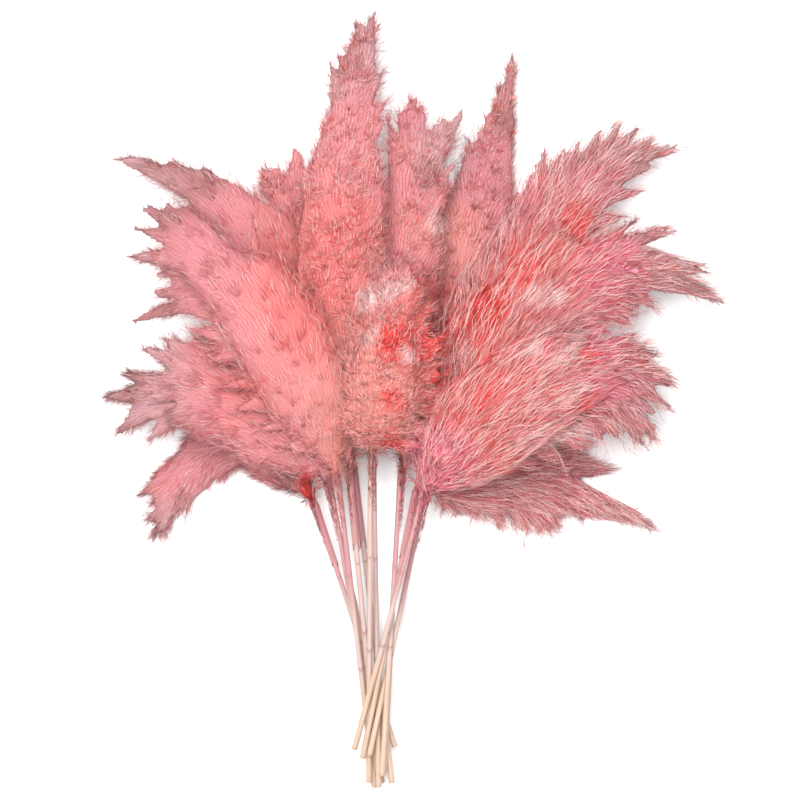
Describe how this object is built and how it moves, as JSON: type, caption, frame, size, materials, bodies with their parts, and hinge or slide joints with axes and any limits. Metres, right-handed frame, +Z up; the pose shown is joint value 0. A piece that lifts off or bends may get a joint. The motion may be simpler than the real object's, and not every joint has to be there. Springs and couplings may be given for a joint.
{
  "type": "bunch of pampas grass",
  "caption": "Fan-shaped bunch of dried pink pampas grass: feathery plumes on slim canes that cross at the waist, lying on its side to dress a table, shelf or vase.",
  "frame": {"origin": "middle of the bunch's bounding box, on the surface that it lies on", "axes": "+Y from the cut ends of the canes to the plume tips, +X to the right seen from above, +Z up"},
  "size_m": [0.4966, 0.631, 0.17],
  "materials": {
    "plume_mauve": "matte, fine hairs",
    "plume_coral": "matte, fine hairs",
    "plume_rose": "matte, fine hairs",
    "cane": "satin dry straw",
    "sheath": "matte dry leaf"
  },
  "bodies": {
    "root": {"plume_left_low": "plume_mauve", "stem_left_low": "cane", "plume_left_mid": "plume_mauve", "stem_left_mid": "cane", "plume_left_high": "plume_mauve", "stem_left_high": "cane", "plume_left_top": "plume_mauve", "stem_left_top": "cane", "plume_centre_left": "plume_coral", "stem_centre_left": "cane", "plume_centre_tall": "plume_coral", "stem_centre_tall": "cane", "plume_centre_front": "plume_coral", "stem_centre_front": "cane", "plume_centre_back": "plume_coral", "stem_centre_back": "cane", "plume_centre_right": "plume_coral", "stem_centre_right": "cane", "plume_right_top": "plume_rose", "stem_right_top": "cane", "plume_right_high": "plume_rose", "stem_right_high": "cane", "plume_right_mid": "plume_rose", "stem_right_mid": "cane", "plume_right_low": "plume_rose", "stem_right_low": "cane", "sheath_left_low": "sheath", "sheath_centre_left": "sheath", "sheath_centre_tall": "sheath", "sheath_right_high": "sheath"}
  },
  "joints": []
}
